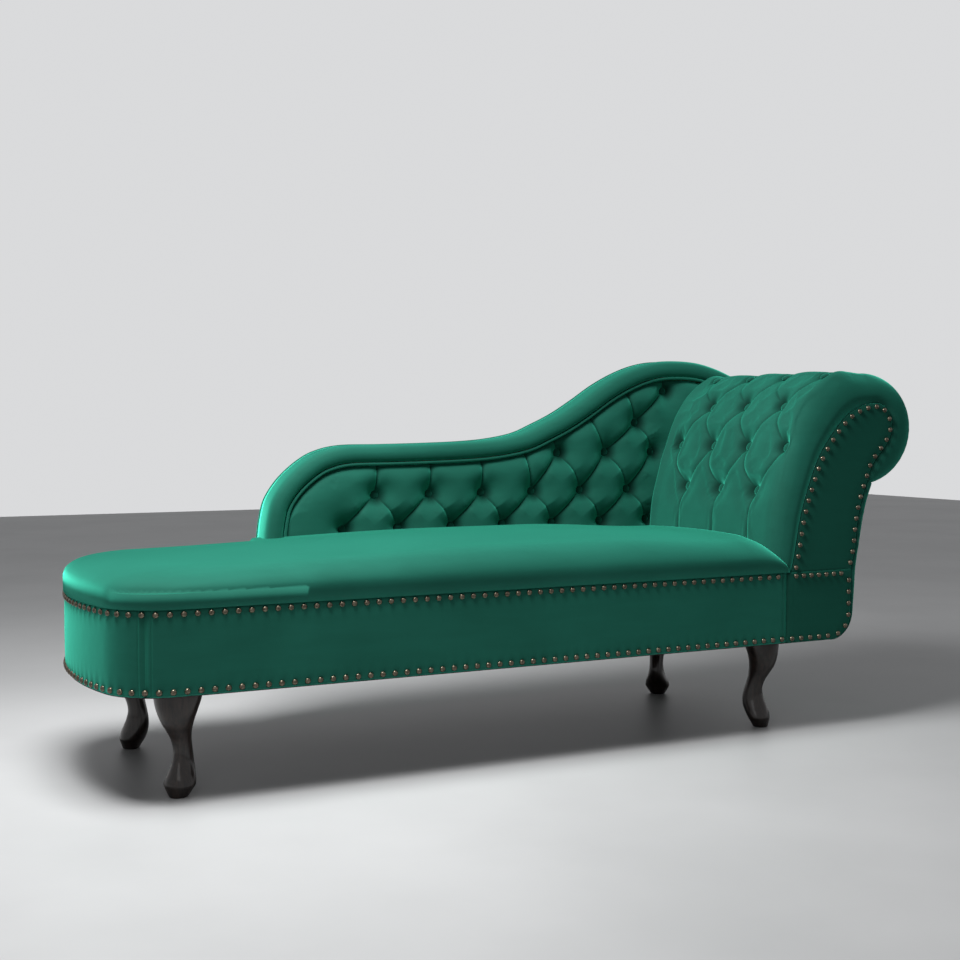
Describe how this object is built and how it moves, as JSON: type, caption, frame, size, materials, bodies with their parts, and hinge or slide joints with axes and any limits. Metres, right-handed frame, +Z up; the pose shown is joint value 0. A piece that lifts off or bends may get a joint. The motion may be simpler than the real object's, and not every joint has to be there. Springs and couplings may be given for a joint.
{
  "type": "fainting couch",
  "caption": "Upholstered fainting couch with one rolled arm, a camel-shaped side back, deep-buttoned padding, nailed bands and curved wooden legs.",
  "frame": {"origin": "on the floor, at the centre of the couch's plan box", "axes": "+X towards the head end with the rolled arm, +Y towards the back panel, +Z up"},
  "size_m": [1.6829, 0.5431, 0.7648],
  "materials": {
    "velvet": "matte",
    "velvet_trim": "matte",
    "lacquered_wood": "gloss",
    "pine": "matte",
    "plywood": "matte",
    "zinc_steel": "satin",
    "spring_steel": "satin",
    "antique_brass": "satin",
    "foam": "matte",
    "jute": "matte",
    "dust_cloth": "matte"
  },
  "bodies": {
    "root": {"front_rail": "pine", "rear_rail": "pine", "foot_rail": "pine", "head_rail": "pine", "cross_rails": "pine", "corner_blocks": "pine", "leg_front_foot": "lacquered_wood", "leg_rear_foot": "lacquered_wood", "leg_front_head": "lacquered_wood", "leg_rear_head": "lacquered_wood", "hanger_bolts": "zinc_steel", "tee_nuts": "zinc_steel", "dust_cover": "dust_cloth", "seat_springs": "spring_steel", "spring_clips": "zinc_steel", "spring_ties": "jute", "seat_hessian": "jute", "seat_foam": "foam", "seat_cushion": "velvet", "front_band": "velvet", "foot_band": "velvet", "rear_band": "velvet", "upper_nails": "antique_brass", "lower_nails": "antique_brass", "arm_front_board": "plywood", "arm_rear_board": "plywood", "arm_rails": "pine", "arm_bolts": "zinc_steel", "arm_lining": "plywood", "arm_roll_core": "plywood", "arm_pad": "velvet", "arm_buttons": "velvet_trim", "arm_roll_pad": "velvet", "arm_outer_panel": "velvet", "arm_facing": "velvet_trim", "arm_lower_facing": "velvet_trim", "arm_nails": "antique_brass", "back_bottom_rail": "pine", "back_posts": "pine", "back_top_rail": "plywood", "back_head_board": "plywood", "back_bolts": "zinc_steel", "back_lining": "plywood", "back_pad": "velvet", "back_buttons": "velvet_trim", "back_border": "velvet", "back_welt": "velvet_trim", "back_outer_cover": "velvet"}
  },
  "joints": []
}
